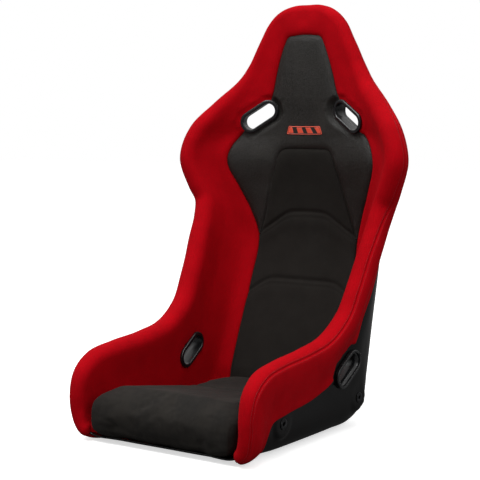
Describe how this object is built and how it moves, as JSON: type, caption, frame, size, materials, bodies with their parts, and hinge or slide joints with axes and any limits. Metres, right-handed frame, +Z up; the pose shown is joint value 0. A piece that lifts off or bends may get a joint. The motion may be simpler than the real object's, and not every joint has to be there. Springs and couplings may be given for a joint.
{
  "type": "racing bucket seat",
  "caption": "Fixed-back racing bucket seat: one-piece shell with padded wings and thigh bolsters, leatherette insert, quilted back panel, harness slots, side mounts and a lift-out cushion.",
  "frame": {"origin": "centre of the footprint, on the floor", "axes": "+Z up, -Y towards the front edge of the cushion, +X across the seat towards its right when seen from the front"},
  "size_m": [0.576, 0.58, 0.8889],
  "materials": {
    "gelcoat": "satin",
    "red_cloth": "matte",
    "leatherette": "satin",
    "panel_cloth": "matte",
    "suede": "matte",
    "bezel_plastic": "gloss",
    "badge": "satin",
    "foam": "matte",
    "board": "matte",
    "hook_and_loop": "matte",
    "steel": "satin"
  },
  "bodies": {
    "seat": {"shell": "gelcoat", "left_bolster": "red_cloth", "right_bolster": "red_cloth", "left_rim_band": "red_cloth", "right_rim_band": "red_cloth", "head_bolster": "red_cloth", "head_rim_band": "red_cloth", "shoulder_insert": "leatherette", "back_panel_upper": "panel_cloth", "back_panel_middle": "panel_cloth", "back_panel_lower": "panel_cloth", "badge": "badge", "left_shoulder_bezel_inner": "bezel_plastic", "right_shoulder_bezel_inner": "bezel_plastic", "left_shoulder_bezel_outer": "bezel_plastic", "right_shoulder_bezel_outer": "bezel_plastic", "left_shoulder_screw_upper": "steel", "right_shoulder_screw_upper": "steel", "left_shoulder_screw_lower": "steel", "right_shoulder_screw_lower": "steel", "left_lap_bezel_inner": "bezel_plastic", "right_lap_bezel_inner": "bezel_plastic", "left_lap_bezel_outer": "bezel_plastic", "right_lap_bezel_outer": "bezel_plastic", "left_lap_screw_upper": "steel", "right_lap_screw_upper": "steel", "left_lap_screw_lower": "steel", "right_lap_screw_lower": "steel", "left_hook_strip": "hook_and_loop", "right_hook_strip": "hook_and_loop", "left_front_mount_insert": "steel", "right_front_mount_insert": "steel", "left_front_mount_plate": "steel", "right_front_mount_plate": "steel", "left_rear_mount_insert": "steel", "right_rear_mount_insert": "steel", "left_rear_mount_plate": "steel", "right_rear_mount_plate": "steel"},
    "cushion": {"cushion_cover": "suede", "cushion_foam": "foam", "cushion_base": "board", "left_loop_strip": "hook_and_loop", "right_loop_strip": "hook_and_loop"}
  },
  "joints": [
    {"name": "cushion_lift", "type": "slide", "parent": "seat", "child": "cushion", "axis": [0, -0.6, 0.8], "range_m": [0, 0.45]}
  ]
}
